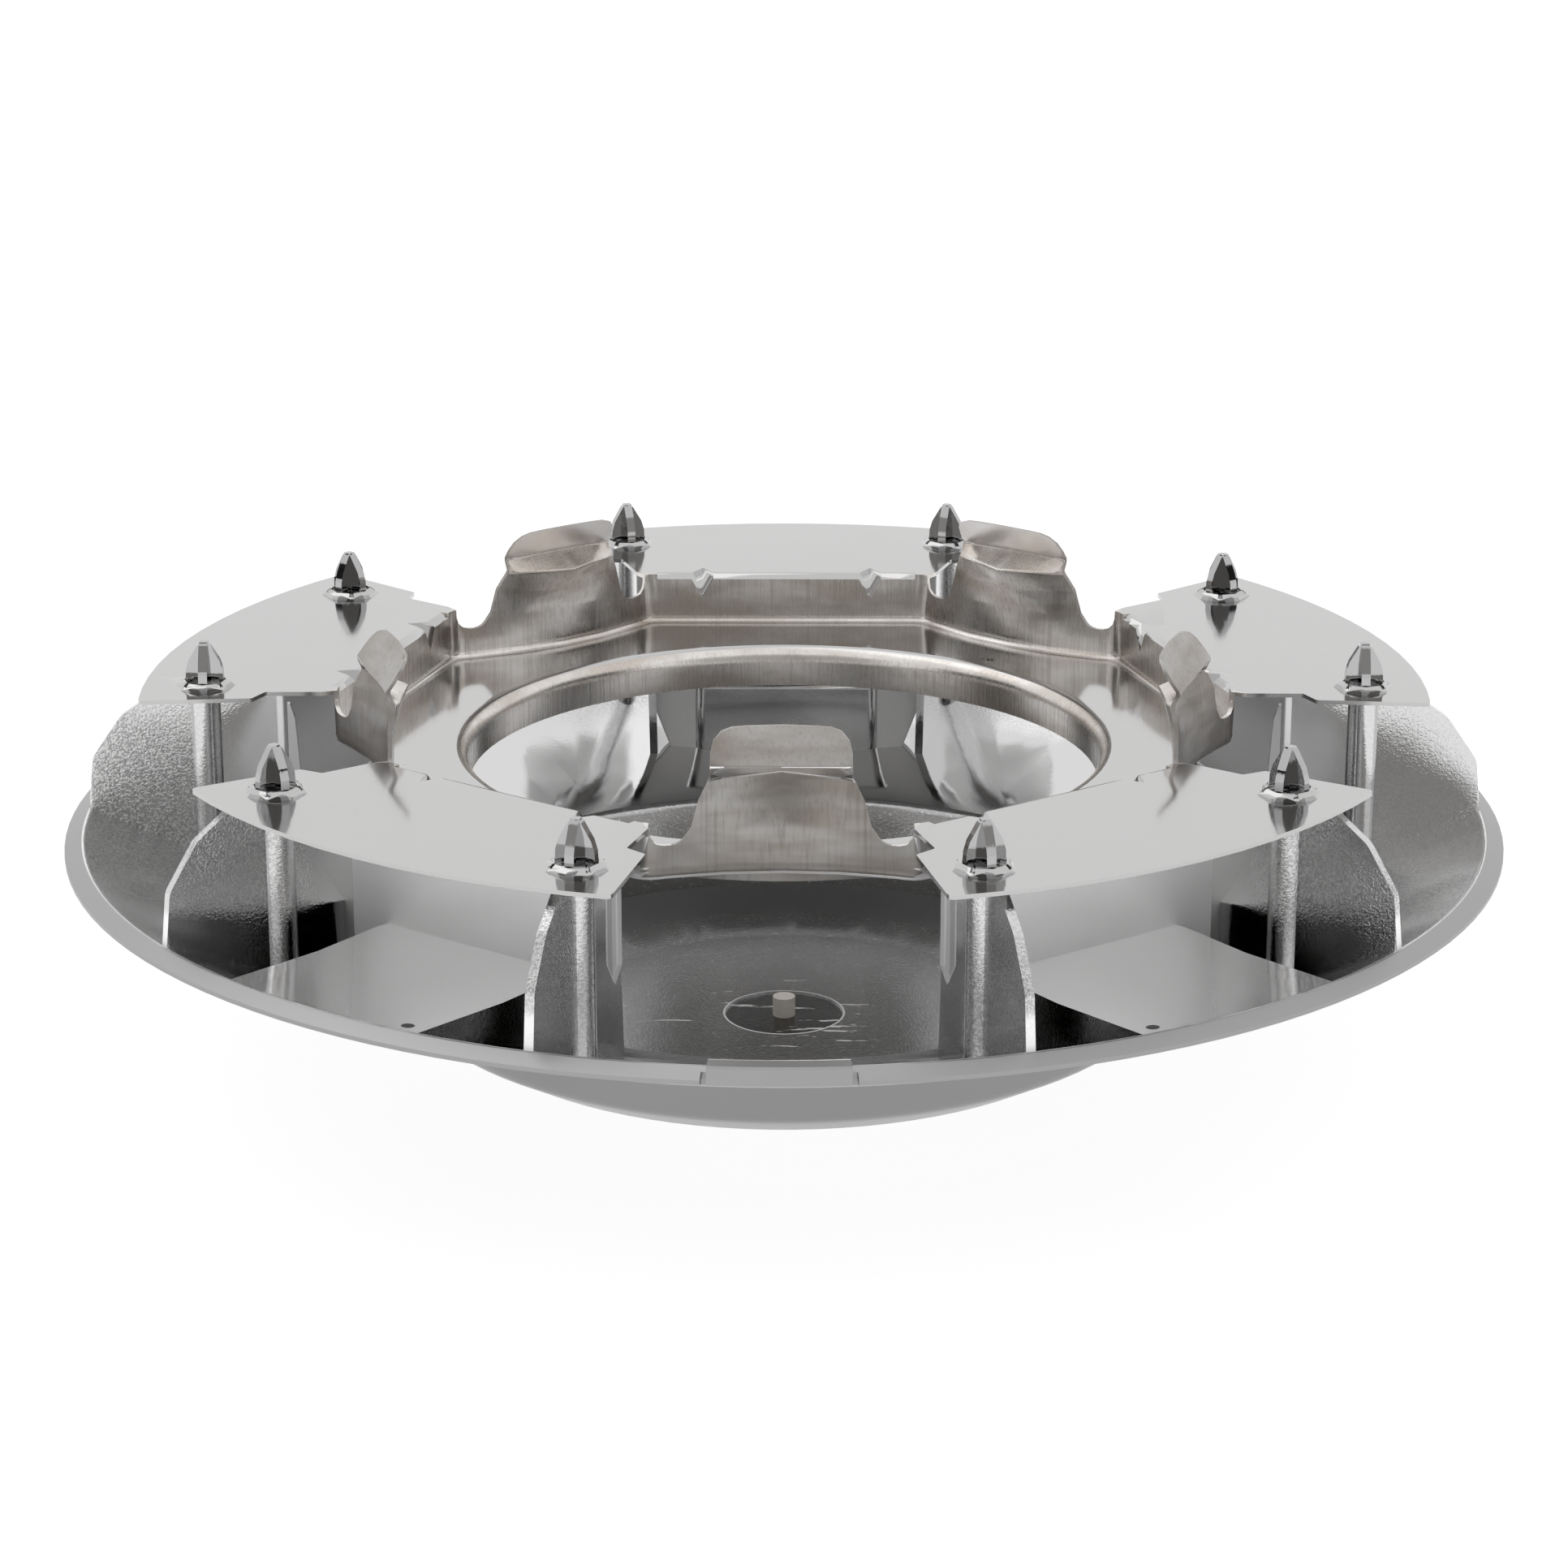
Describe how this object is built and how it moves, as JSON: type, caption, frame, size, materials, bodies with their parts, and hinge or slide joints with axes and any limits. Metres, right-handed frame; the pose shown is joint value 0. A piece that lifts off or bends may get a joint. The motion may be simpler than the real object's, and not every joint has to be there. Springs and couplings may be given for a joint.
{
  "type": "wheel centre cap",
  "caption": "Round dished wheel centre cap, chromed plastic, with a domed hub cup, radial webs and a pressed spring steel retaining clip on its back.",
  "frame": {"origin": "centre of the flat ring on the hub cup that the cap rests on, face down", "axes": "+Z along the cap's axis, out of its back, towards the wheel; -Y towards the tab for a pry tool"},
  "size_m": [0.21, 0.21, 0.0663],
  "materials": {
    "chromed_plastic": "bright chrome on moulded plastic, finely speckled",
    "spring_steel": "bright rolled sheet, lightly scratched"
  },
  "bodies": {
    "root": {"cap_shell": "chromed_plastic", "retaining_clip": "spring_steel"}
  },
  "joints": []
}
